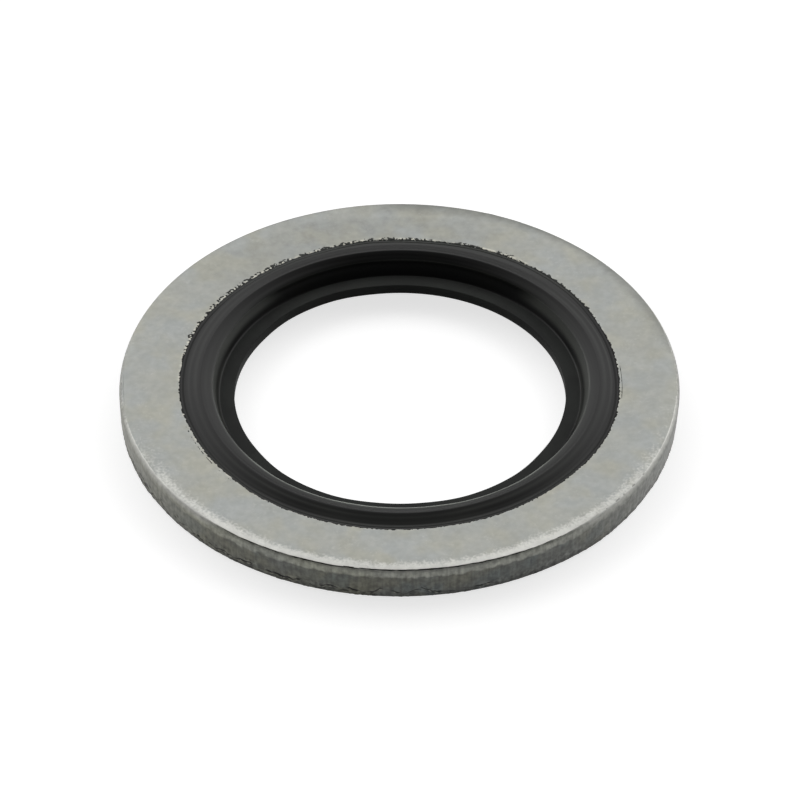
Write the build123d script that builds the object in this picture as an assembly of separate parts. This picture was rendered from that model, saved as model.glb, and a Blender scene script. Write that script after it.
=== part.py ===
from build123d import *
import os

# Self-centring bonded sealing washer for a 16 mm thread: a ring punched from zinc-plated steel strip,
# with a black rubber seal moulded into its bore and bonded there. The seal is the same on both faces.
# The ring isn't: the punch entered at the upper face and tore through at the lower one.
#
# Millimetres, +Z up. The origin is on the axis, in the plane that the lower sealing lip stands on.
# Sections are drawn as (radius, height) and turned about Z. Radii add up from the thread outward.

# Driving dimensions across the washer: radial widths, apart from the thread's own diameter
thread_diameter = 16.0       # the thread that the washer seals
web_grip = 0.90              # how far inside the thread's outside the web's hole lies, to grip it
lip_clearance = 0.11         # gap between the thread and the crisp inner edge of each lip
wall_lean = 0.39             # how far each lip's steep inner wall leans in, from its edge to its foot
slope_width = 0.44           # slope from the lip's inner edge up to its crest
flank_width = 0.70           # outer flank, from the crest down to the land
land_width = 0.20            # flat rubber margin, level with the steel face
ring_width = 2.55            # steel ring, from its punched bore to its outside

# Driving dimensions through the washer: heights
steel_thickness = 1.5        # thickness of the strip
lip_height = 0.20            # how far each lip's crest stands proud of the steel face
lip_edge_drop = 0.17         # how far the lip's inner edge lies below its crest
web_thickness = 0.46         # the web, at half the height of the ring

# Driving dimensions of the punched edge and the moulded corner
die_roll_width = 0.63        # margin of the upper face, drawn down by the cut: its width
die_roll_depth = 0.04        # and how far it falls, to the sharp upper corner
shoulder_width = 0.07        # rounded shoulder below that corner: how far it swells out
shoulder_height = 0.28       # and its height; the sheared band below it is straight
breakout_height = 0.38       # torn band at the foot of the outside
breakout_inset = 0.02        # how far the torn band tapers in
lower_edge_bevel = 0.02      # broken edge round the lower face
wall_foot_round = 0.08       # hollow round where the lip's wall meets the web

# Radii, from the hole outward
thread_radius = thread_diameter / 2
hole_radius = thread_radius - web_grip
lip_edge_radius = thread_radius + lip_clearance
wall_foot_radius = lip_edge_radius - wall_lean
crest_radius = lip_edge_radius + slope_width
land_radius = crest_radius + flank_width
bond_radius = land_radius + land_width
outer_radius = bond_radius + ring_width

# Heights, from the plane that the lower lip stands on
steel_bottom = lip_height
steel_top = steel_bottom + steel_thickness
middle_height = (steel_bottom + steel_top) / 2


def turned(outline):
    """The solid that a closed (radius, height) outline sweeps about the Z axis."""
    section = Plane.XZ * make_face(outline)
    return revolve(section, axis=Axis.Z, revolution_arc=360)


def steel_ring():
    """Flat ring whose outside has the marks of a punch: die roll, shoulder, sheared band, torn band."""
    corner_radius = outer_radius - shoulder_width
    corner_height = steel_top - die_roll_depth
    upper_corner = (corner_radius, corner_height)
    roll_start = (corner_radius - die_roll_width, steel_top)
    shoulder_end = (outer_radius, corner_height - shoulder_height)
    tear_start = (outer_radius, steel_bottom + breakout_height)
    torn_radius = outer_radius - breakout_inset
    tear_end = (torn_radius, steel_bottom + lower_edge_bevel)
    bevel_end = (torn_radius - lower_edge_bevel, steel_bottom)
    bore_bottom = (bond_radius, steel_bottom)
    bore_top = (bond_radius, steel_top)

    die_roll = TangentArc(roll_start, upper_corner, tangent=(1, 0))
    shoulder = TangentArc(shoulder_end, upper_corner, tangent=(0, 1))
    plain_sides = Polyline(
        shoulder_end, tear_start, tear_end, bevel_end, bore_bottom, bore_top, roll_start
    )
    return turned([die_roll, shoulder, plain_sides])


def lip_edge(side):
    """Crisp inner edge of one lip: side is +1 for the upper lip and -1 for the lower."""
    rise = steel_thickness / 2 + lip_height - lip_edge_drop
    return (lip_edge_radius, middle_height + side * rise)


def lip(side):
    """Outline of one lip: flat land, outer flank, crest, and the slope in to its crisp edge."""
    face_height = middle_height + side * steel_thickness / 2
    bond_corner = (bond_radius, face_height)
    flank_foot = (land_radius, face_height)
    crest = (crest_radius, face_height + side * lip_height)
    inward = (-1, 0)

    land = Line(bond_corner, flank_foot)
    flank = Spline(flank_foot, crest, tangents=[inward, inward])
    slope = TangentArc(crest, lip_edge(side), tangent=inward)
    return [land, flank, slope]


def throat():
    """Outline of the seal's inside: down the upper lip's wall, round the web, and on to the lower lip."""
    web_top = middle_height + web_thickness / 2
    web_bottom = middle_height - web_thickness / 2
    return FilletPolyline(
        lip_edge(1),
        (wall_foot_radius, web_top),
        (hole_radius, web_top),
        (hole_radius, web_bottom),
        (wall_foot_radius, web_bottom),
        lip_edge(-1),
        radius=[wall_foot_round, 0, 0, wall_foot_round],
    )


def rubber_seal():
    """Seal with a lip on each face and a thin web between them, bonded to the steel bore."""
    bonded_face = Line((bond_radius, steel_bottom), (bond_radius, steel_top))
    return turned([bonded_face, *lip(1), throat(), *lip(-1)])


os.makedirs("parts", exist_ok=True)
export_step(steel_ring(), "parts/steel_ring.step")
export_step(rubber_seal(), "parts/rubber_seal.step")
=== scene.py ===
import math

import bpy
import numpy as np
from mathutils import Matrix, Vector


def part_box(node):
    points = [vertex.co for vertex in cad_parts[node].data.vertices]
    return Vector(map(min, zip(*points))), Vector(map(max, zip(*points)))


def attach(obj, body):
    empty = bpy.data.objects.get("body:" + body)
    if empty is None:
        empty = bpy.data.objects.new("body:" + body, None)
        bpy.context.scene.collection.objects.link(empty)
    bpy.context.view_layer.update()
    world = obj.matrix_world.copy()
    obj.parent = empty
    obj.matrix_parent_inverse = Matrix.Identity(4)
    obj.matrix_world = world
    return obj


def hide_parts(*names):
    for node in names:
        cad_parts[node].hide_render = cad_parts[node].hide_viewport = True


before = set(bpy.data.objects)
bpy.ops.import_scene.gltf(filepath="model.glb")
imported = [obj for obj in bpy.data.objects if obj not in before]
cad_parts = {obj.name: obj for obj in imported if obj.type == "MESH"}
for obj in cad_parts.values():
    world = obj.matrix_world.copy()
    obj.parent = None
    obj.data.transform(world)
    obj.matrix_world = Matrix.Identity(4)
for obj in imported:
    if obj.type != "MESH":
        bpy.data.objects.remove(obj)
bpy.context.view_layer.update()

# The looks of a self-centring bonded sealing washer: a punched, zinc-plated steel ring with a black
# rubber seal bonded into its bore. Lengths are in metres, in the frame's own axes. Angles are in
# degrees, anticlockwise from +X seen from above, so the front, nearest the camera, is at 270.

MM = 0.001
MICRON = 0.000001

# ---------------------------------------------------------------- sizes from the frame
steel_low, steel_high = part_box("steel_ring")
seal_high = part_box("rubber_seal")[1]
OUTER_RADIUS = round(steel_high.x, 5)
BOND_RADIUS = round(seal_high.x, 5)
STEEL_TOP = steel_high.z
STEEL_BOTTOM = steel_low.z
MIDDLE = (STEEL_TOP + STEEL_BOTTOM) / 2
LIP_HEIGHT = seal_high.z - STEEL_TOP

# Sizes that a box doesn't give, the same as in the part's source
LAND_RADIUS = BOND_RADIUS - 0.20 * MM
CREST_RADIUS = LAND_RADIUS - 0.70 * MM
LIP_EDGE_RADIUS = CREST_RADIUS - 0.44 * MM
HOLE_RADIUS = LIP_EDGE_RADIUS - 1.01 * MM
LIP_EDGE_DROP = 0.17 * MM
WEB_THICKNESS = 0.46 * MM
DIE_ROLL_WIDTH = 0.63 * MM
DIE_ROLL_DEPTH = 0.04 * MM
SHOULDER_HEIGHT = 0.28 * MM
BREAKOUT_HEIGHT = 0.38 * MM
BREAKOUT_INSET = 0.02 * MM
LOWER_BEVEL = 0.02 * MM
CORNER_HEIGHT = STEEL_TOP - DIE_ROLL_DEPTH

# The moulded form of the seal: the foot of its wall, and its rounded edges. The corners of the crest and
# of the flank's foot are moved a little, to make up for their rounding, and the one at the bond lies low.
WALL_FOOT_RADIUS = LIP_EDGE_RADIUS - 0.365 * MM
WALL_FOOT_ROUND = 0.11 * MM
LIP_EDGE_ROUND = 0.05 * MM
HOLE_EDGE_ROUND = 0.02 * MM
CREST_ROUND = 0.12 * MM
CREST_TRIM = 0.008 * MM
FLANK_FOOT_ROUND = 0.35 * MM
FLANK_FOOT_TRIM = 0.08 * MM
BOND_CORNER_ROUND = 0.05 * MM
BOND_CORNER_WIDTH = 0.06 * MM
BOND_CORNER_DEPTH = 0.03 * MM
BOND_CORNER_DROP = 0.004 * MM

# How far this seal strays: its web lies low, it is off centre, and its lip's edge is drawn inward
WEB_DROP = 0.045 * MM
SEAL_SHIFT = 0.035 * MM
SEAL_SHIFT_WAY = 325
EDGE_LEAN = 0.055 * MM
EDGE_SHIFT = 0.035 * MM
EDGE_SHIFT_WAY = 215

# Columns round each mesh
STEEL_COLUMNS = 1440
SEAL_COLUMNS = 720
FLASH_COLUMNS = 2400

rng = np.random.default_rng(20)


# ---------------------------------------------------------------- noise and sectors round the ring
def turn(columns):
    """The angle of each column, in radians."""
    return np.arange(columns) * 2 * math.pi / columns


def ring_noise(columns, radius, feature, rows=1, row_feature=1.0):
    """Noise of unit spread that closes round the ring.

    feature is its length along the ring in metres, and row_feature its length across, in rows.
    """
    white = rng.standard_normal((rows, columns))
    waves = np.fft.rfftfreq(columns, d=2 * math.pi * radius / columns)
    keep = np.exp(-3 * (waves * feature) ** 2)
    field = np.fft.irfft(np.fft.rfft(white, axis=1) * keep, n=columns, axis=1)
    if rows > 1:
        reach = int(3 * row_feature) + 1
        taps = np.exp(-0.5 * (np.arange(-reach, reach + 1) / row_feature) ** 2)
        padded = np.pad(field, ((reach, reach), (0, 0)), mode="symmetric")
        field = sum(tap * padded[i : i + rows] for i, tap in enumerate(taps))
    field = (field - field.mean()) / field.std()
    return field if rows > 1 else field[0]


def uneven(field, middle, swing, most):
    """Noise made into a strength, which swings about the middle and is cut off at 0 and at the most."""
    return np.clip(middle + swing * field, 0, most)


def smooth(share):
    """0 below 0, 1 above 1, and a soft step between."""
    share = np.clip(share, 0, 1)
    return share * share * (3 - 2 * share)


def bump(distance, half_width):
    """1 at no distance, fading to nothing by about twice the half width."""
    return np.exp(-((distance / half_width) ** 2))


def sector(columns, start, end, fade):
    """1 from the start angle to the end angle, anticlockwise, fading out over so many degrees."""
    middle = (start + end) / 2
    half = (end - start) / 2
    away = np.abs((np.degrees(turn(columns)) - middle + 180) % 360 - 180)
    return smooth((half + fade - away) / fade)


def stretches(columns, *parts):
    """Sectors added up. Each part is a strength, then the sector's start, end and fade."""
    return sum(strength * sector(columns, *where) for strength, *where in parts)


def resample(values, columns):
    """An array round the ring, read at another count of columns."""
    return np.interp(turn(columns), turn(values.size), values, period=2 * math.pi)


# ---------------------------------------------------------------- meshes turned about the axis
def new_object(name, mesh, *materials):
    for material in materials:
        mesh.materials.append(material)
    piece = bpy.data.objects.new(name, mesh)
    bpy.context.scene.collection.objects.link(piece)
    return piece


class Section:
    """A closed section, turned about the axis: rows of points, with the marks that colour them."""

    def __init__(self, columns, marks):
        self.columns = columns
        self.radii = []
        self.heights = []
        self.surfaces = []
        self.marks = {mark: [] for mark in marks}

    def add(self, radius, height, surface=0, **marks):
        """Add a row. surface is the number of the material from this row to the next."""
        wide = np.ones(self.columns)
        self.radii.append(radius * wide)
        self.heights.append(height * wide)
        self.surfaces.append(surface)
        for mark, rows in self.marks.items():
            rows.append(marks.get(mark, 0.0) * wide)

    def paint(self, mark, values):
        """Give every row the same values of a mark."""
        self.marks[mark] = [values] * len(self.radii)

    def mesh(self, name):
        radii = np.array(self.radii)
        heights = np.array(self.heights)
        rows, columns = radii.shape
        angles = turn(columns)
        points = np.stack([radii * np.cos(angles), radii * np.sin(angles), heights], axis=-1)
        row, column = np.meshgrid(np.arange(rows), np.arange(columns), indexing="ij")
        next_row = (row + 1) % rows * columns
        next_column = (column + 1) % columns
        row = row * columns
        corners = (row + column, next_row + column, next_row + next_column, row + next_column)
        faces = np.stack(corners, axis=-1).reshape(-1, 4)
        surfaces = np.repeat(self.surfaces, columns)
        mesh = bpy.data.meshes.new(name)
        mesh.vertices.add(points.size // 3)
        mesh.vertices.foreach_set("co", points.astype(np.float32).ravel())
        mesh.loops.add(faces.size)
        mesh.loops.foreach_set("vertex_index", faces.ravel().astype(np.int32))
        mesh.polygons.add(len(faces))
        mesh.polygons.foreach_set("loop_start", np.arange(0, faces.size, 4, dtype=np.int32))
        mesh.polygons.foreach_set("material_index", surfaces.astype(np.int32))
        mesh.update(calc_edges=True)
        mesh.shade_smooth()
        for mark, values in self.marks.items():
            layer = mesh.attributes.new(mark, "FLOAT", "POINT")
            layer.data.foreach_set("value", np.array(values).astype(np.float32).ravel())
        return mesh


# ---------------------------------------------------------------- the line where rubber meets steel
def bond_line():
    """How far outside BOND_RADIUS the rubber ends, before the small teeth of its edge."""
    wander = 0.02 * ring_noise(FLASH_COLUMNS, BOND_RADIUS, 4 * MM)
    reach = stretches(
        FLASH_COLUMNS,
        (0.12, 42, 67, 20),
        (0.05, 82, 98, 15),
        (-0.07, 112, 128, 15),
        (-0.05, 200, 218, 12),
        (-0.03, 255, 315, 25),
    )
    return (wander + reach) * MM


# ---------------------------------------------------------------- the steel ring
# Marks of the steel. On its faces: the frost, a white bloom of the zinc that also paints a highlight on
# the die roll in front and on the shoulder below it, and painted shade at the back. On the punched wall:
# the wall itself, the pale sheared band, the rough torn band, painted shade darkening its foot, what is
# lighter than the front, and an olive stain. On both: bright bare metal of the burrs, with painted
# highlights on the lips of the tears, and painted black shade in cracks, tears, pits and along the lower
# edge.
STEEL_MARKS = ("frost", "worn", "wall", "band", "torn", "foot", "pale", "olive", "burr", "crevice")

# The edge of the bore: its rows, in millimetres outside the end of the rubber, how far it falls away
# under the rubber, and how high its burrs stand
BORE_EDGE_ROWS = (-0.07, -0.04, -0.015, 0.01, 0.035, 0.065, 0.10, 0.15, 0.22)
BORE_EDGE_FALL = 0.03 * MM
BURR_HEIGHT = 3 * MICRON

# The upper corner: how far it is nibbled away, and rounded off away from the front
CORNER_WANDER = 8 * MICRON
CORNER_BITE = 0.04 * MM
CORNER_ROUND = 0.027 * MM

# The crack below the corner: how far it gapes, and how deep its two sides go
CRACK_GAPE = 0.027 * MM
CRACK_UPPER_DEPTH = 0.025 * MM
CRACK_LOWER_DEPTH = 0.020 * MM

# The punched wall: its scores, its waves, and its torn band
SCORE_DEPTH = 1.2 * MICRON
WAVE_DEPTH = 1.5 * MICRON
TORN_ROUGHNESS = 7 * MICRON
TORN_FADE = 0.15 * MM
MOST_PROUD = 3 * MICRON

# The two tears: the height of the upper one over the lower face, the lower one below it, and a lip
# between them with a painted highlight
TEAR_DEPTH = 0.03 * MM
TEAR_HEIGHT = 0.20 * MM
TEAR_ARCH = 0.11 * MM
TEAR_WANDER = 0.02 * MM
LOW_TEAR_BELOW = 0.13 * MM
LOW_TEAR_WANDER = 0.05 * MM
LOW_TEAR_WIDTH = 0.020 * MM
TEAR_LIP_BELOW = 0.05 * MM
TEAR_LIP_WIDTH = 0.022 * MM


def steel_ring(upper_line, lower_line):
    section = Section(STEEL_COLUMNS, STEEL_MARKS)
    upper_face(section, BOND_RADIUS + resample(upper_line, STEEL_COLUMNS))
    crack_foot = corner_crack(section)
    shoulder(section, crack_foot)
    punched_wall(section)
    lower_face(section, BOND_RADIUS + resample(lower_line, STEEL_COLUMNS))
    section.paint("pale", 1 - sector(STEEL_COLUMNS, 240, 296, 45))
    section.paint("olive", stretches(STEEL_COLUMNS, (0.6, 190, 225, 18), (0.35, 250, 262, 5)))
    return new_object("steel_ring_look", section.mesh("steel_ring_look"), zinc_material())


def upper_face(section, bore):
    """From the edge of the bore over the flat and down the die roll, to the upper corner."""
    columns = section.columns
    # Painted shade at the back, on the bore's edge and the flat
    back = sector(columns, 85, 120, 50)
    bore_edge(section, bore, 0.38 * back)
    corner = OUTER_RADIUS - shoulder_width(columns) - nicks(columns)
    roll_width = DIE_ROLL_WIDTH * (1 + 0.12 * ring_noise(columns, OUTER_RADIUS, 3 * MM))
    roll_depth = DIE_ROLL_DEPTH * (1 + 0.12 * ring_noise(columns, OUTER_RADIUS, 1.5 * MM))
    roll_start = corner - roll_width
    flat_start = bore + BORE_EDGE_ROWS[-1] * MM
    for share in np.linspace(0, 1, 7)[1:-1]:
        swell = MICRON * ring_noise(columns, OUTER_RADIUS, 1.2 * MM)
        radius = flat_start + (roll_start - flat_start) * share
        section.add(radius, STEEL_TOP + swell, worn=0.38 * back)
    front = sector(columns, 240, 300, 60)
    # Painted shade on the die roll, most at the right back and less over the whole back half
    roll_shade = stretches(columns, (0.75, 22, 85, 20), (0.12, 0, 180, 20))
    for share in (*np.linspace(0, 0.9, 8), 0.96, 1.0):
        rounded_off = CORNER_ROUND * soft_corner(columns) if share > 0.9 else 0
        radius = roll_start + roll_width * share - rounded_off
        # Painted highlight on the die roll in front, and painted shade on it at the back
        look = {"frost": min(1.3 * share, 1) * front, "worn": 0.22 * back + share * roll_shade}
        section.add(radius, STEEL_TOP - roll_depth * share**2, **look)


def bore_edge(section, bore, worn):
    """The edge of the bore, which lies under the ragged rubber, with bright burrs outside it."""
    columns = section.columns
    burr = burrs(columns)
    for offset in BORE_EDGE_ROWS:
        near = bump(offset, 0.06)
        fall = BORE_EDGE_FALL * smooth((-0.01 - offset) / 0.06)
        rise = BURR_HEIGHT * near * ring_noise(columns, BOND_RADIUS, 0.10 * MM)
        section.add(bore + offset * MM, STEEL_TOP - fall + rise, burr=near * burr, worn=worn)


def burrs(columns):
    """A broken seam of bright metal, strongest at the back, and dots of it at the left."""
    seam = 0.20 + 0.85 * sector(columns, 62, 165, 15)
    seam *= uneven(ring_noise(columns, BOND_RADIUS, 0.12 * MM), 0.5, 0.7, 1.3)
    dots = uneven(ring_noise(columns, BOND_RADIUS, 0.15 * MM), -0.4, 1.2, 1)
    return np.maximum(seam, 0.8 * dots * sector(columns, 160, 228, 12))


def nicks(columns):
    """How far the sharp upper corner is nibbled away."""
    wander = CORNER_WANDER * ring_noise(columns, OUTER_RADIUS, 0.3 * MM)
    bites = uneven(ring_noise(columns, OUTER_RADIUS, 0.22 * MM), -1.4, 1, 1.2)
    return wander + CORNER_BITE * bites


def soft_corner(columns):
    """0 in front, where the upper corner is sharp, and 1 elsewhere, where it is rounder, frosted and
    given a painted highlight.
    """
    return 1 - sector(columns, 235, 302, 12)


def spilt_frost_highlight(columns):
    """1 at the two front sides, where the frost and its painted highlight spill over the corner and down
    the wall.
    """
    return stretches(columns, (1, 198, 226, 12), (1, 313, 348, 12))


def shoulder_width(columns):
    """How far the wall swells out below the upper corner."""
    width = 0.085 + 0.035 * soft_corner(columns)
    width += stretches(columns, (0.015, 262, 284, 8), (-0.02, 25, 155, 20), (-0.02, 68, 95, 15))
    return width * MM


def taper(columns):
    """How much narrower the foot of the wall is than its top."""
    return stretches(columns, (0.04, 172, 212, 20), (0.09, 335, 372, 24)) * MM


def corner_crack(section):
    """A fine crack under the sharp corner, open in front and nearly closed elsewhere.

    Away from the front the corner's rounding takes its place. Returns how far below the corner it ends.
    """
    columns = section.columns
    crack = sector(columns, 236, 300, 7)
    crack *= 0.75 + 0.35 * ring_noise(columns, OUTER_RADIUS, 0.25 * MM)
    crack += 0.60 * sector(columns, 258, 282, 8)
    short_cracks = ring_noise(columns, OUTER_RADIUS, 0.2 * MM) > 1.5
    crack += 0.5 * sector(columns, 208, 332, 12) * short_cracks
    crack = np.clip(crack, 0.02, 1.5)
    gape = 0.006 * MM + CRACK_GAPE * crack
    soft = soft_corner(columns)
    # The frost and its painted highlight on the rounded corner, spilling further at the two front sides
    frost = 0.25 * soft + 0.75 * spilt_frost_highlight(columns)
    # Painted black shade in the crack, which is also cut in
    look = {"wall": 1 - soft, "frost": frost, "crevice": crack}
    corner = OUTER_RADIUS - shoulder_width(columns)
    upper_radius = corner - CRACK_UPPER_DEPTH * crack - 0.006 * MM * soft
    lower_radius = corner - CRACK_LOWER_DEPTH * crack + 0.013 * MM * soft
    section.add(upper_radius, CORNER_HEIGHT - (0.002 + 0.003 * soft) * MM, **look)
    section.add(lower_radius, CORNER_HEIGHT - gape + (0.003 - 0.014 * soft) * MM, **look)
    return gape + 0.028 * MM * soft


def shoulder(section, top):
    """The rounded shoulder, from so far below the upper corner down to the sheared band."""
    columns = section.columns
    width = shoulder_width(columns)
    radius = (width**2 + SHOULDER_HEIGHT**2) / (2 * width)
    soft = soft_corner(columns)
    spilt = spilt_frost_highlight(columns)
    # Painted highlight: in front, the shoulder below the crack is given the frost colour, as if it caught
    # the light
    catches_light = sector(columns, 260, 282, 12)
    for share in (0, 0.05, 0.25, 0.5, 0.75, 1):
        drop = top + (SHOULDER_HEIGHT - top) * share
        inset = radius - np.sqrt(radius**2 - (SHOULDER_HEIGHT - drop) ** 2)
        ripple = SCORE_DEPTH * ring_noise(columns, OUTER_RADIUS, 0.15 * MM)
        wall = 1 - soft * (1 - share) ** (2.5 - 1.2 * spilt)
        wall -= 0.45 * catches_light * (1 - share) ** 2
        frost = soft * (0.4 + 0.6 * share) + 0.6 * spilt * (1 - share) + catches_light
        look = {"wall": wall, "frost": frost, "band": 1 - 0.45 * share}
        section.add(OUTER_RADIUS - inset - np.abs(ripple), CORNER_HEIGHT - drop, **look)


def punched_wall(section):
    """The sheared band, scored down its height, and the torn band at its foot."""
    columns = section.columns
    start = CORNER_HEIGHT - SHOULDER_HEIGHT
    middle = STEEL_BOTTOM + 1.3 * BREAKOUT_HEIGHT
    end = STEEL_BOTTOM + LOWER_BEVEL
    heights = np.array([*np.linspace(start, middle, 8)[1:], *np.linspace(middle, end, 23)[1:]])
    rows = heights.size
    torn_height = BREAKOUT_HEIGHT * (1 + 0.3 * ring_noise(columns, OUTER_RADIUS, 1.0 * MM))
    relief = SCORE_DEPTH * ring_noise(columns, OUTER_RADIUS, 0.12 * MM, rows, 8)
    relief += WAVE_DEPTH * ring_noise(columns, OUTER_RADIUS, 0.5 * MM, rows, 5)
    rough = TORN_ROUGHNESS * ring_noise(columns, OUTER_RADIUS, 0.12 * MM, rows, 2.0)
    rough *= 1 - stretches(columns, (0.3, 190, 232, 15), (0.5, 300, 350, 15))
    pits = smooth(ring_noise(columns, OUTER_RADIUS, 0.10 * MM, rows, 1.5) - 2.1)
    tears, lip_highlights = wandering_tears(columns, heights)
    blotches = smooth(ring_noise(columns, OUTER_RADIUS, 0.22 * MM, rows, 2.0) - 0.9)
    blotches *= sector(columns, 199, 236, 8)

    for row, height in enumerate(heights):
        below = STEEL_BOTTOM + torn_height - height
        torn = smooth(below / TORN_FADE)
        inset = BREAKOUT_INSET * np.clip(below / BREAKOUT_HEIGHT, 0, 1)
        depth = (start - height) / (start - end)
        # Painted shade in the pits of the torn band and in blotches low on the left
        dark = 0.8 * pits[row] * torn + 0.9 * blotches[row] * smooth(2.5 * depth - 0.9)
        crevice = np.clip(tears[row] + dark, 0, 1)
        radius = OUTER_RADIUS - inset - taper(columns) * depth - TEAR_DEPTH * crevice
        radius = np.minimum(radius + relief[row] + rough[row] * torn, OUTER_RADIUS + MOST_PROUD)
        band = max(0.55 - 1.2 * (start - height) / MM, 0.0)
        # Painted shade: the wall is darker towards its foot, next to the floor
        foot = float(smooth(1 - (height - end) / (0.4 * MM)))
        look = {"crevice": crevice, "burr": lip_highlights[row], "band": band, "torn": torn, "foot": foot}
        section.add(radius, height, wall=1, **look)


def wandering_tears(columns, heights):
    """How much painted shade two tears put on each height of the torn band, and how bright a painted
    highlight the upper one's lip gets.

    The upper tear runs in arches, and the lower one follows it.
    """
    height = heights[:, np.newaxis]
    cleaner = sector(columns, 300, 350, 15)
    arches = np.abs(ring_noise(columns, OUTER_RADIUS, 0.6 * MM))
    tear = STEEL_BOTTOM + TEAR_HEIGHT + TEAR_ARCH * arches
    tear += TEAR_WANDER * ring_noise(columns, OUTER_RADIUS, 0.15 * MM)
    low_tear = tear - LOW_TEAR_BELOW
    low_tear += LOW_TEAR_WANDER * ring_noise(columns, OUTER_RADIUS, 0.3 * MM)
    gape = uneven(ring_noise(columns, OUTER_RADIUS, 0.35 * MM), 0.6, 0.7, 1.2)
    gape *= 1 + 0.8 * sector(columns, 238, 264, 8) - 0.75 * cleaner
    low_gape = uneven(ring_noise(columns, OUTER_RADIUS, 0.25 * MM), 0, 0.7, 0.9)
    low_gape *= 1 - 0.6 * cleaner
    width = (0.024 + 0.012 * sector(columns, 240, 262, 8)) * MM
    glint = uneven(ring_noise(columns, OUTER_RADIUS, 0.10 * MM), 0, 1, 1.5)
    tears = gape * bump(height - tear, width)
    tears += low_gape * bump(height - low_tear, LOW_TEAR_WIDTH)
    # Painted highlight on the lip under the upper tear
    lip_highlights = 0.35 * gape * glint * bump(height - tear + TEAR_LIP_BELOW, TEAR_LIP_WIDTH)
    return tears, lip_highlights


def lower_face(section, bore):
    """From the broken lower edge in over the flat, and up the bore to half its height."""
    columns = section.columns
    foot = OUTER_RADIUS - BREAKOUT_INSET - LOWER_BEVEL - taper(columns)
    # Painted shade along the broken lower edge
    section.add(foot, STEEL_BOTTOM, wall=1, crevice=0.3)
    for share in np.linspace(0, 1, 4)[1:]:
        section.add(foot + (bore + 0.1 * MM - foot) * share, STEEL_BOTTOM)
    section.add(bore, STEEL_BOTTOM)
    section.add(bore - 0.05 * MM, STEEL_BOTTOM + 0.02 * MM)
    section.add(BOND_RADIUS, MIDDLE)


# ---------------------------------------------------------------- the rubber seal
# Marks of the seal: scuff is how grey it is, partly worn and mostly painted light (painted highlights on
# the lip's edge and inner wall, and lighter rings and patches on the lip); dim is how much of its gloss
# is gone
SEAL_MARKS = ("scuff", "dim")

# Painted lighter rings on the lip: millimetres outside its crest, half width in millimetres, and strength
LIGHT_RINGS = ((-0.27, 0.10, 0.058), (0.21, 0.075, 0.056), (0.51, 0.055, 0.050))

# Where the lip has lost its gloss at the back
DIM_EDGE_RADIUS = LIP_EDGE_RADIUS + 0.01 * MM
DIM_SLOPE_RADIUS = CREST_RADIUS - 0.25 * MM
DIM_FLANK_RADIUS = CREST_RADIUS + 0.18 * MM
MOST_DIM = 0.80

# Ripples that the mould left, which are lower on the web
MOULD_WAVE = 0.8 * MICRON
MOULD_RIPPLE = 0.7 * MICRON
WEB_RIPPLES = 0.3


def rounded(corners, step, arc_points):
    """An outline through corners, each rounded by its radius, as points no more than step apart.

    A corner is its distance from the axis, its height and the radius of its rounding.
    """
    points = []
    for before, (x, z, radius), after in zip(corners, corners[1:], corners[2:]):
        corner = Vector((x, z))
        back = (Vector(before[:2]) - corner).normalized()
        ahead = (Vector(after[:2]) - corner).normalized()
        opening = back.angle(ahead) / 2
        centre = corner + (back + ahead).normalized() * (radius / math.sin(opening))
        first = corner + back * (radius / math.tan(opening))
        last = corner + ahead * (radius / math.tan(opening))
        if not points:
            points.append(Vector(before[:2]))
        start = points[-1]
        stretch = max(1, math.ceil((first - start).length / step))
        points += [start.lerp(first, share) for share in np.linspace(0, 1, stretch + 1)[1:]]
        sweep = (first - centre).angle_signed(last - centre)
        for share in np.linspace(0, 1, arc_points)[1:]:
            arm = first - centre
            arm.rotate(Matrix.Rotation(-sweep * share, 2))
            points.append(centre + arm)
    return points


def seal_half(side, step, arc_points):
    """Points of one half of the seal's section, from the bonded corner inward to the web's hole."""
    face = MIDDLE + side * (STEEL_TOP - MIDDLE)
    web = MIDDLE - WEB_DROP + side * WEB_THICKNESS / 2
    lip_edge = face + side * (LIP_HEIGHT - LIP_EDGE_DROP)
    crest = face + side * (LIP_HEIGHT + CREST_TRIM)
    corners = (
        (BOND_RADIUS, face - side * BOND_CORNER_DEPTH, 0),
        (BOND_RADIUS - BOND_CORNER_WIDTH, face - side * BOND_CORNER_DROP, BOND_CORNER_ROUND),
        (LAND_RADIUS - FLANK_FOOT_TRIM, face, FLANK_FOOT_ROUND),
        (CREST_RADIUS, crest, CREST_ROUND),
        (LIP_EDGE_RADIUS, lip_edge, LIP_EDGE_ROUND),
        (WALL_FOOT_RADIUS, web, WALL_FOOT_ROUND),
        (HOLE_RADIUS, web, HOLE_EDGE_ROUND),
        (HOLE_RADIUS, MIDDLE - WEB_DROP, 0),
    )
    return rounded(corners, step, arc_points)


def on_this_seal(columns, radius):
    """Where a point of the section lies all round this seal, which isn't quite central or round."""
    aside = SEAL_SHIFT * np.cos(turn(columns) - math.radians(SEAL_SHIFT_WAY))
    aside *= smooth((LAND_RADIUS - radius) / (0.5 * MM))
    lean = EDGE_LEAN + EDGE_SHIFT * np.cos(turn(columns) - math.radians(EDGE_SHIFT_WAY))
    lean -= stretches(columns, (0.03, 232, 246, 12), (0.045, 292, 308, 12)) * MM
    lean *= bump(radius - LIP_EDGE_RADIUS, 0.15 * MM)
    wider = stretches(columns, (0.07, 228, 246, 18), (0.07, 294, 312, 18), (0.06, 115, 130, 18)) * MM
    wider *= np.clip((WALL_FOOT_RADIUS - radius) / (WALL_FOOT_RADIUS - HOLE_RADIUS), 0, 1)
    return radius + aside + wider - lean


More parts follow.
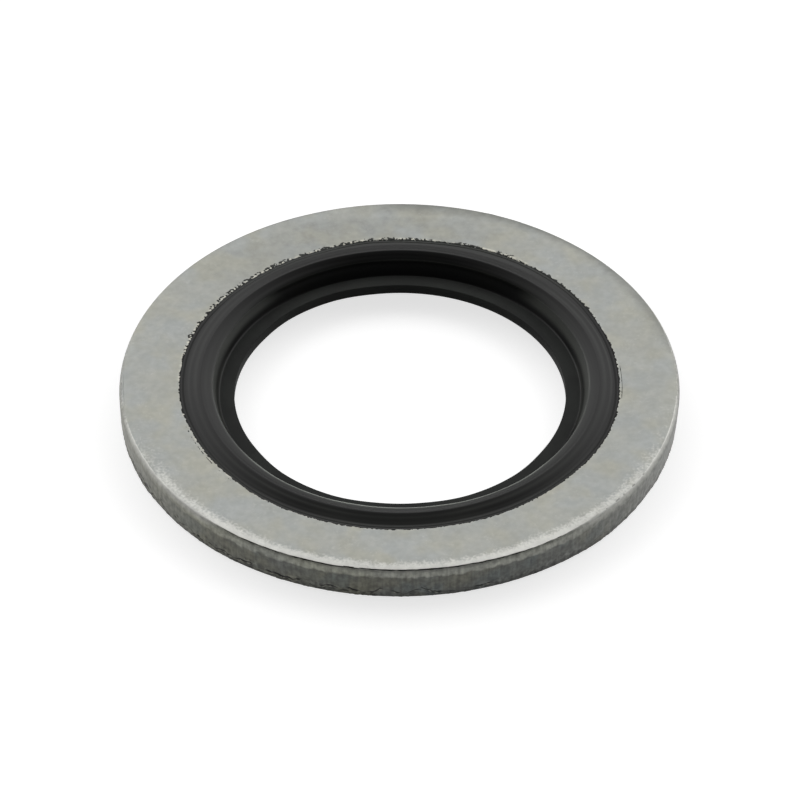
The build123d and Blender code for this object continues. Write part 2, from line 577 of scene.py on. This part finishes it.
def lip_edge_highlight(columns):
    """Painted highlight along the lip's edge, which is most in front."""
    wear = 0.05 + stretches(columns, (0.25, 180, 360, 30), (0.8, 225, 315, 20), (1.5, 262, 278, 22))
    return wear * uneven(ring_noise(columns, LIP_EDGE_RADIUS, 1.5 * MM), 0.9, 0.2, 1.1)


def wall_scuff(columns, radius):
    """Painted highlight on the lip's inner wall at a radius: at both sides, and most at its foot."""
    sides = stretches(columns, (0.22, 140, 193, 12), (0.22, -12, 40, 12), (0.012, 70, 110, 30))
    sides *= smooth((radius - WALL_FOOT_RADIUS) / (0.15 * MM) - 0.5) * (radius < LIP_EDGE_RADIUS)
    foot = stretches(columns, (0.12, 170, 193, 12), (0.12, -12, 10, 12))
    return sides + foot * bump(radius - WALL_FOOT_RADIUS - 0.04 * MM, 0.045 * MM)


def painted_lip_rings(columns, radius):
    """Painted light on the lip at a radius: lighter rings, which fade at the back and elsewhere, and a
    lighter front.
    """
    ringed = 1 - stretches(
        columns,
        (1, 60, 120, 25),
        (0.5, 192, 222, 12),
        (0.4, 240, 338, 20),
        (0.35, 262, 278, 12),
    )
    outside = (radius - CREST_RADIUS) / MM
    rings = sum(strength * bump(outside - at, width) for at, width, strength in LIGHT_RINGS)
    plain = 0.004 + stretches(columns, (-0.004, 60, 120, 30), (0.018, 225, 315, 40))
    return plain + rings * ringed


def painted_lip_patches(columns, radius):
    """Painted light on the lip at a radius: paler on the land at the back, and on the flank in front."""
    outside = (radius - CREST_RADIUS) / MM
    land = 0.06 * sector(columns, 60, 120, 30) * smooth((outside - 0.42) / 0.22)
    flank = 0.04 * sector(columns, 255, 285, 15) * smooth((outside - 0.15) / 0.25)
    return land + flank


def lip_dim(columns, radius):
    """How much of the lip's gloss is gone at a radius: only at the back."""
    edge = 0.80 * sector(columns, 50, 130, 20) * bump(radius - DIM_EDGE_RADIUS, 0.09 * MM)
    slope = 0.52 * sector(columns, 78, 102, 22) * bump(radius - DIM_SLOPE_RADIUS, 0.13 * MM)
    flank = 0.35 * sector(columns, 65, 115, 25) * bump(radius - DIM_FLANK_RADIUS, 0.07 * MM)
    return np.minimum(edge + slope + flank, MOST_DIM)


def rubber_seal():
    columns = SEAL_COLUMNS
    section = Section(columns, SEAL_MARKS)
    edge_highlight = lip_edge_highlight(columns)
    upper = seal_half(1, step=0.04 * MM, arc_points=6)
    ripples = rng.standard_normal(len(upper))
    wander = ring_noise(columns, CREST_RADIUS, 9 * MM, len(upper), 1.1)
    for row, (radius, height) in enumerate(upper):
        web = radius < WALL_FOOT_RADIUS
        moulded = MOULD_WAVE * wander[row] + MOULD_RIPPLE * ripples[row]
        # Painted highlights on the lip's edge and on its inner wall
        edge = edge_highlight * bump(radius - LIP_EDGE_RADIUS - 0.005 * MM, 0.042 * MM)
        scuff = np.maximum(edge, wall_scuff(columns, radius))
        if web:
            moulded *= WEB_RIPPLES
            # Painted light: the web is lighter at the back, where it lies in the wall's shade
            scuff += 0.03 * sector(columns, 60, 120, 30)
        else:
            # Painted light: lighter rings and patches on the lip
            scuff += painted_lip_rings(columns, radius) * uneven(wander[row], 1, 0.4, 2)
            scuff += painted_lip_patches(columns, radius)
        look = {"scuff": scuff, "dim": lip_dim(columns, radius)}
        section.add(on_this_seal(columns, radius), height + moulded, surface=int(web), **look)
    section.add(on_this_seal(columns, HOLE_RADIUS), MIDDLE - WEB_DROP, surface=1)
    for radius, height in reversed(seal_half(-1, step=0.15 * MM, arc_points=4)):
        web = radius < WALL_FOOT_RADIUS
        section.add(on_this_seal(columns, radius), height, surface=int(web))
    section.add(BOND_RADIUS, MIDDLE)
    mesh = section.mesh("rubber_seal_look")
    return new_object("rubber_seal_look", mesh, satin_rubber, matt_rubber)


# ---------------------------------------------------------------- rubber flash over the steel's edge
# The film and the groove inside its edge, and how far its inner margin sinks into the seal
FILM_THICKNESS = 9 * MICRON
FLASH_GROOVE = 0.025 * MM
FLASH_SINK = 0.06 * MM

# How far the flash reaches to either side of the bond line, in millimetres, and its rows across
FLASH_REACH = 0.26
FLASH_ROWS = 27


def flash(name, line, columns, side):
    """Thin rubber flash over the edge of the steel: a film that ends in a ragged line, with stray bits.

    Offsets are in millimetres outside the bond line. film is how many thicknesses the rubber stands
    over the steel's face, with the steel bare where it is below 0.
    """
    section = Section(columns, ("scuff",))
    face = MIDDLE + side * (STEEL_TOP - MIDDLE)
    line = BOND_RADIUS + resample(line, columns)
    scuff = stretches(columns, (0.075, 235, 305, 50), (0.13, 50, 130, 30))
    heavy = stretches(columns, (1, 62, 162, 12), (0.45, 28, 50, 10))
    ragged = 0.014 * ring_noise(columns, BOND_RADIUS, 0.09 * MM)
    ragged *= 1 + heavy - 0.4 * sector(columns, 300, 350, 20)
    bits = ring_noise(columns, BOND_RADIUS, 0.07 * MM, FLASH_ROWS, 1.4)
    clusters = uneven(ring_noise(columns, BOND_RADIUS, 1.2 * MM), 0.7, 0.6, 1.6)
    clusters += stretches(columns, (0.5, 112, 152, 6), (0.8, 124, 130, 4))
    stray = 0.7 + 3.0 * heavy * clusters
    stray_reach = 0.07 + 0.10 * heavy * np.clip(clusters, 0, 1.5)
    dashes = np.clip(0.4 + ring_noise(columns, BOND_RADIUS, 0.35 * MM), -1, 1)
    dashes *= 5.5 * sector(columns, 200, 219, 5)
    thread = 5.5 * sector(columns, -5, 6, 2)
    crumbs = uneven(ring_noise(columns, BOND_RADIUS, 0.11 * MM, FLASH_ROWS, 2.0), 1, 1, 3)
    crumbs *= 2.9 * stretches(columns, (1, 113, 153, 5), (0.35, 62, 113, 6), (0.4, 30, 50, 8))
    for row, offset in enumerate(np.linspace(-FLASH_REACH, FLASH_REACH, FLASH_ROWS)):
        film = (ragged - offset) / 0.03 + stray * bits[row] * bump(offset, stray_reach)
        film += dashes * bump(offset - 0.12, 0.025) * (1 + 0.5 * bits[row])
        film += thread * bump(offset - 0.10, 0.022)
        film += crumbs[row] * bump(offset - 0.12, 0.07)
        level = FILM_THICKNESS * np.clip(film, -2.5, 1)
        level -= FLASH_GROOVE * bump(offset + 0.09, 0.035)
        level -= FLASH_SINK * smooth((-0.20 - offset) / 0.06)
        section.add(line + offset * MM, face + side * level, scuff=scuff)
    section.add(line + FLASH_REACH * MM, face - side * 0.05 * MM)
    section.add(line - FLASH_REACH * MM, face - side * 0.12 * MM)
    return new_object(name, section.mesh(name), dull_rubber)


# ---------------------------------------------------------------- shader helpers
def fill(socket, value):
    """Link a socket's value, or set it; None leaves it as it is."""
    if isinstance(value, bpy.types.NodeSocket):
        socket.id_data.links.new(value, socket)
    elif isinstance(value, tuple) and len(socket.default_value) == 4:
        socket.default_value = (*value, 1)
    elif value is not None:
        socket.default_value = value


def node(tree, kind, *inputs, output=0, **settings):
    """A shader node: values or sockets for its first inputs, settings by name, and its output socket."""
    made = tree.nodes.new(kind)
    for name, value in settings.items():
        setattr(made, name, value)
    for socket, value in zip(made.inputs, inputs):
        fill(socket, value)
    return made.outputs[output]


def mix(tree, share, first, second, blend="MIX"):
    """A colour mixed from two."""
    made = tree.nodes.new("ShaderNodeMix")
    made.data_type = "RGBA"
    made.blend_type = blend
    for name, value in (("Factor_Float", share), ("A_Color", first), ("B_Color", second)):
        fill(next(socket for socket in made.inputs if socket.identifier == name), value)
    return next(socket for socket in made.outputs if socket.identifier == "Result_Color")


def calc(tree, operation, first, second):
    return node(tree, "ShaderNodeMath", first, second, operation=operation)


def vector_calc(tree, operation, first, second=None, output=0):
    return node(tree, "ShaderNodeVectorMath", first, second, output=output, operation=operation)


def ramp(tree, value, low, high, start=0.0, end=1.0):
    """start where value is low or less, end where it is high or more."""
    soft = {"interpolation_type": "SMOOTHSTEP"}
    return node(tree, "ShaderNodeMapRange", value, low, high, start, end, **soft)


def noise(tree, place, feature, detail=2.0, away=0.0):
    """Noise from 0 to 1. feature is its size in millimetres, and away moves it to another part."""
    if away:
        place = vector_calc(tree, "ADD", place, (away, away, 0.0))
    return node(tree, "ShaderNodeTexNoise", place, None, 1 / feature, detail)


def spread(tree, value, start, end):
    """Noise stretched to run from start to end."""
    return ramp(tree, value, 0.3, 0.7, start, end)


def mark(tree, name):
    """A value that the mesh carries at its points."""
    return node(tree, "ShaderNodeAttribute", attribute_name=name, output=2)


def millimetres(tree):
    """Places on the object, in millimetres."""
    place = node(tree, "ShaderNodeTexCoord", output=3)
    return vector_calc(tree, "MULTIPLY", place, (1 / MM, 1 / MM, 1 / MM))


def new_material(name, roughness, metallic=0.0):
    """A material, its node tree and its shader."""
    material = bpy.data.materials.new(name)
    material.use_nodes = True
    tree = material.node_tree
    shader = tree.nodes["Principled BSDF"]
    shader.inputs["Roughness"].default_value = roughness
    shader.inputs["Metallic"].default_value = metallic
    return material, tree, shader


# ---------------------------------------------------------------- zinc
ZINC = (0.405, 0.412, 0.380)
ZINC_BLUE = (0.395, 0.412, 0.400)
ZINC_STRAW = (0.419, 0.418, 0.362)
ZINC_FROST_HIGHLIGHT = (0.742, 0.742, 0.699)
ZINC_SHADE = (0.200, 0.206, 0.188)
SHEARED = (0.144, 0.150, 0.138)
SHEARED_OLIVE = (0.163, 0.163, 0.133)
SHEARED_BLUE = (0.134, 0.149, 0.143)
SHEARED_PALE = (0.237, 0.240, 0.221)
SHEARED_BAND = (0.352, 0.360, 0.318)
NO_TINT = (1.0, 1.0, 1.0)
OLIVE_TINT = (1.02, 1.00, 0.86)
FOOT_SHADE = 0.55
BURR_AND_HIGHLIGHT = (0.664, 0.650, 0.562)
CREVICE_SHADE = (0.012, 0.012, 0.010)


def zinc_face(tree, place):
    """Colour and shade of the plated faces: clouds of blue and straw, then frost with its painted
    highlight, and painted shade at the back.
    """
    colour = mix(tree, ramp(tree, noise(tree, place, 2.2), 0.35, 0.65), ZINC, ZINC_BLUE)
    straw = ramp(tree, noise(tree, place, 1.6, away=17), 0.40, 0.70)
    colour = mix(tree, straw, colour, ZINC_STRAW)
    mottle = noise(tree, place, 0.5, 5.0, away=40)
    grit = noise(tree, place, 0.12, 3.0, away=44)
    # Frost with grain, which also paints the highlight on the die roll in front
    frost = calc(tree, "ADD", mark(tree, "frost"), spread(tree, mottle, -0.12, 0.12))
    frost = calc(tree, "ADD", frost, spread(tree, grit, -0.20, 0.20))
    colour = mix(tree, ramp(tree, frost, 0.10, 0.95), colour, ZINC_FROST_HIGHLIGHT)
    # Painted shade at the back, broken up by the mottle
    worn = calc(tree, "ADD", mark(tree, "worn"), spread(tree, mottle, -0.1, 0.1))
    colour = mix(tree, ramp(tree, worn, 0.0, 1.2), colour, ZINC_SHADE)
    fine = ramp(tree, noise(tree, place, 0.30, 6.0, away=9), 0.2, 0.8, 0.92, 1.08)
    cloudy = spread(tree, noise(tree, place, 1.0, 3.0, away=80), 0.968, 1.032)
    return colour, calc(tree, "MULTIPLY", fine, cloudy)


def zinc_wall(tree, place):
    """Colour and shade of the punched wall: stains, its ragged pale band, and grain drawn down it."""
    olive = ramp(tree, noise(tree, place, 1.8, away=23), 0.42, 0.65)
    colour = mix(tree, olive, SHEARED, SHEARED_OLIVE)
    blue = ramp(tree, noise(tree, place, 1.3, away=31), 0.50, 0.70)
    colour = mix(tree, blue, colour, SHEARED_BLUE)
    ragged = spread(tree, noise(tree, place, 0.45, 3.0, away=52), -0.07, 0.07)
    band = ramp(tree, calc(tree, "ADD", mark(tree, "band"), ragged), 0.36, 0.54)
    colour = mix(tree, band, colour, SHEARED_BAND)
    colour = mix(tree, mark(tree, "pale"), colour, SHEARED_PALE)
    tint = mix(tree, mark(tree, "olive"), NO_TINT, OLIVE_TINT)
    colour = mix(tree, 1.0, colour, tint, blend="MULTIPLY")
    grain = spread(tree, noise(tree, place, 0.22, 6.0, away=70), 0.70, 1.30)
    grain = calc(tree, "POWER", grain, calc(tree, "ADD", 0.8, mark(tree, "torn")))
    upright = vector_calc(tree, "MULTIPLY", place, (1.0, 1.0, 0.12))
    scores = spread(tree, noise(tree, upright, 0.13, 2.0, away=64), 0.86, 1.14)
    shade = calc(tree, "MULTIPLY", grain, scores)
    # Painted shade towards the foot of the wall
    foot = ramp(tree, mark(tree, "foot"), 0.0, 1.0, 1.0, FOOT_SHADE)
    return colour, calc(tree, "MULTIPLY", shade, foot)


def zinc_material():
    material, tree, shader = new_material("dull_zinc", roughness=0.45, metallic=0.4)
    place = millimetres(tree)
    face, face_shade = zinc_face(tree, place)
    wall, wall_shade = zinc_wall(tree, place)
    colour = mix(tree, mark(tree, "wall"), face, wall)
    shade = node(tree, "ShaderNodeMix", mark(tree, "wall"), None, face_shade, wall_shade)
    colour = mix(tree, 1.0, colour, shade, blend="MULTIPLY")
    # Bright bare metal of the burrs, and painted highlights on the tears' lips
    colour = mix(tree, mark(tree, "burr"), colour, BURR_AND_HIGHLIGHT)
    # Painted black shade in cracks, tears and pits
    colour = mix(tree, mark(tree, "crevice"), colour, CREVICE_SHADE)
    tree.links.new(colour, shader.inputs["Base Color"])
    return material


# ---------------------------------------------------------------- rubber
RUBBER = (0.0028, 0.0029, 0.0028)
RUBBER_BROWN = (0.0034, 0.0032, 0.0027)
RUBBER_SCUFF_LIGHT = (0.318, 0.336, 0.306)
MATT_RUBBER = (0.0370, 0.0390, 0.0370)
MATT_RUBBER_DARK = (0.0320, 0.0330, 0.0320)


def rubber_material(name, colour, patches, roughness, gloss):
    """Rubber with cloudy patches of a second colour, and greyer where it is scuffed or given painted
    light.
    """
    material, tree, shader = new_material(name, roughness)
    shader.inputs["Specular IOR Level"].default_value = gloss
    cloudy = ramp(tree, noise(tree, millimetres(tree), 1.5, 4.0), 0.40, 0.65)
    colour = mix(tree, cloudy, colour, patches)
    colour = mix(tree, mark(tree, "scuff"), colour, RUBBER_SCUFF_LIGHT)
    tree.links.new(colour, shader.inputs["Base Color"])
    return material


def lose_gloss(material):
    """Take away the material's gloss by as much as the mesh is marked dim."""
    tree = material.node_tree
    gloss = tree.nodes["Principled BSDF"].inputs["Specular IOR Level"]
    left = calc(tree, "SUBTRACT", 1.0, mark(tree, "dim"))
    tree.links.new(calc(tree, "MULTIPLY", left, gloss.default_value), gloss)


# ---------------------------------------------------------------- floor, light and camera
FLOOR_HALF = 3.0
FLOOR_WHITE = 0.55
FLOOR_LIFT = 0.72


def make_floor():
    """A floor that is white to look at and in reflections, but throws less light on the washer."""
    mesh = bpy.data.meshes.new("floor")
    corners = [(x * FLOOR_HALF, y * FLOOR_HALF, 0) for x, y in ((-1, -1), (1, -1), (1, 1), (-1, 1))]
    mesh.from_pydata(corners, [], [(0, 1, 2, 3)])
    material, tree, shader = new_material("floor", roughness=0.7)
    shader.inputs["Base Color"].default_value = (FLOOR_WHITE, FLOOR_WHITE, FLOOR_WHITE, 1)
    shader.inputs["Emission Color"].default_value = (1, 1, 1, 1)
    rays = tree.nodes.new("ShaderNodeLightPath")
    seen = calc(tree, "MAXIMUM", rays.outputs["Is Camera Ray"], rays.outputs["Is Glossy Ray"])
    seen = calc(tree, "MAXIMUM", seen, rays.outputs["Is Transmission Ray"])
    lift = calc(tree, "MULTIPLY", seen, FLOOR_LIFT)
    tree.links.new(lift, shader.inputs["Emission Strength"])
    new_object("floor", mesh, material)


# Light of the studio: how bright its parts are, and where each fades in or out. Heights are the sine of
# the angle above the horizon. Behind goes from -1 in front of the washer to 1 straight behind it.
WALLS = 1.87
WALLS_RISE = (0.0, 0.48)
WALLS_FADE = (0.60, 0.95)
WALLS_SIDES = (-0.4, 0.4)
WALLS_BEHIND = 0.85
STRAIGHT_BEHIND = (0.80, 1.0)
CEILING = 0.50
CEILING_RISE = (0.4, 0.9)
CEILING_BACK = (0.08, 0.48)
ALL_ROUND = 0.06


def make_world():
    """A dim studio with a broad bright strip half way up its walls, behind and at both sides."""
    world = bpy.data.worlds.new("studio")
    bpy.context.scene.world = world
    world.use_nodes = True
    tree = world.node_tree
    way = node(tree, "ShaderNodeTexCoord", output=0)
    parts = tree.nodes.new("ShaderNodeSeparateXYZ")
    tree.links.new(way, parts.inputs[0])
    _, y, z = parts.outputs
    level = vector_calc(tree, "MULTIPLY", way, (1.0, 1.0, 0.0))
    level = vector_calc(tree, "LENGTH", level, output=1)
    behind = calc(tree, "DIVIDE", y, calc(tree, "MAXIMUM", level, 0.001))
    walls = ramp(tree, z, *WALLS_RISE, 0.0, WALLS)
    walls = calc(tree, "MULTIPLY", walls, ramp(tree, z, *WALLS_FADE, 1.0, 0.0))
    walls = calc(tree, "MULTIPLY", walls, ramp(tree, behind, *WALLS_SIDES))
    walls = calc(tree, "MULTIPLY", walls, ramp(tree, behind, *STRAIGHT_BEHIND, 1.0, WALLS_BEHIND))
    ceiling = ramp(tree, z, *CEILING_RISE, 0.0, CEILING)
    ceiling = calc(tree, "MULTIPLY", ceiling, ramp(tree, y, *CEILING_BACK))
    light = calc(tree, "ADD", calc(tree, "ADD", walls, ceiling), ALL_ROUND)
    background = tree.nodes["Background"]
    background.inputs["Color"].default_value = (1, 1, 1, 1)
    tree.links.new(light, background.inputs["Strength"])


# The camera looks down on the washer from the front. Pixels are those of an 800 by 800 picture.
IMAGE = 800
CENTRE_PIXEL = (399.45, 382.85)
PIXELS_PER_RADIUS = 280.3
CAMERA_ELEVATION = 41.2
CAMERA_DISTANCE = 40 * OUTER_RADIUS
SENSOR_WIDTH = 36.0


def make_camera():
    """Camera that puts the centre of the steel's upper face at CENTRE_PIXEL."""
    data = bpy.data.cameras.new("camera")
    data.sensor_width = SENSOR_WIDTH
    data.lens = PIXELS_PER_RADIUS * CAMERA_DISTANCE / OUTER_RADIUS * SENSOR_WIDTH / IMAGE
    data.clip_start = 0.01
    data.clip_end = 10.0
    camera = bpy.data.objects.new("camera", data)
    elevation = math.radians(CAMERA_ELEVATION)
    forward = Vector((0, math.cos(elevation), -math.sin(elevation)))
    up = Vector((0, math.sin(elevation), math.cos(elevation)))
    right = Vector((1, 0, 0))
    metres_per_pixel = OUTER_RADIUS / PIXELS_PER_RADIUS
    aside = (IMAGE / 2 - CENTRE_PIXEL[0]) * metres_per_pixel
    above = (CENTRE_PIXEL[1] - IMAGE / 2) * metres_per_pixel
    centre = Vector((0, 0, STEEL_TOP))
    camera.location = centre - forward * CAMERA_DISTANCE + right * aside + up * above
    camera.rotation_mode = "QUATERNION"
    camera.rotation_quaternion = (-forward).to_track_quat("Z", "Y")
    bpy.context.scene.collection.objects.link(camera)
    bpy.context.scene.camera = camera


satin_rubber = rubber_material("satin_rubber", RUBBER, RUBBER_BROWN, roughness=0.36, gloss=0.22)
dull_rubber = rubber_material("dull_rubber", RUBBER, RUBBER_BROWN, roughness=0.40, gloss=0.13)
matt_rubber = rubber_material("matt_rubber", MATT_RUBBER, MATT_RUBBER_DARK, roughness=0.55, gloss=0.03)
lose_gloss(satin_rubber)
upper_line = bond_line()
lower_line = bond_line()
pieces = (
    (steel_ring(upper_line, lower_line), "steel_ring", "zinc_plated_steel"),
    (rubber_seal(), "rubber_seal", "black_rubber"),
    (flash("upper_flash", upper_line, FLASH_COLUMNS, 1), None, "black_rubber"),
    (flash("lower_flash", lower_line, FLASH_COLUMNS // 2, -1), None, "black_rubber"),
)
for piece, node_name, slot in pieces:
    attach(piece, "root")
    if node_name:
        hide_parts(node_name)

make_floor()
make_world()
make_camera()
bpy.context.scene.view_settings.view_transform = "Standard"
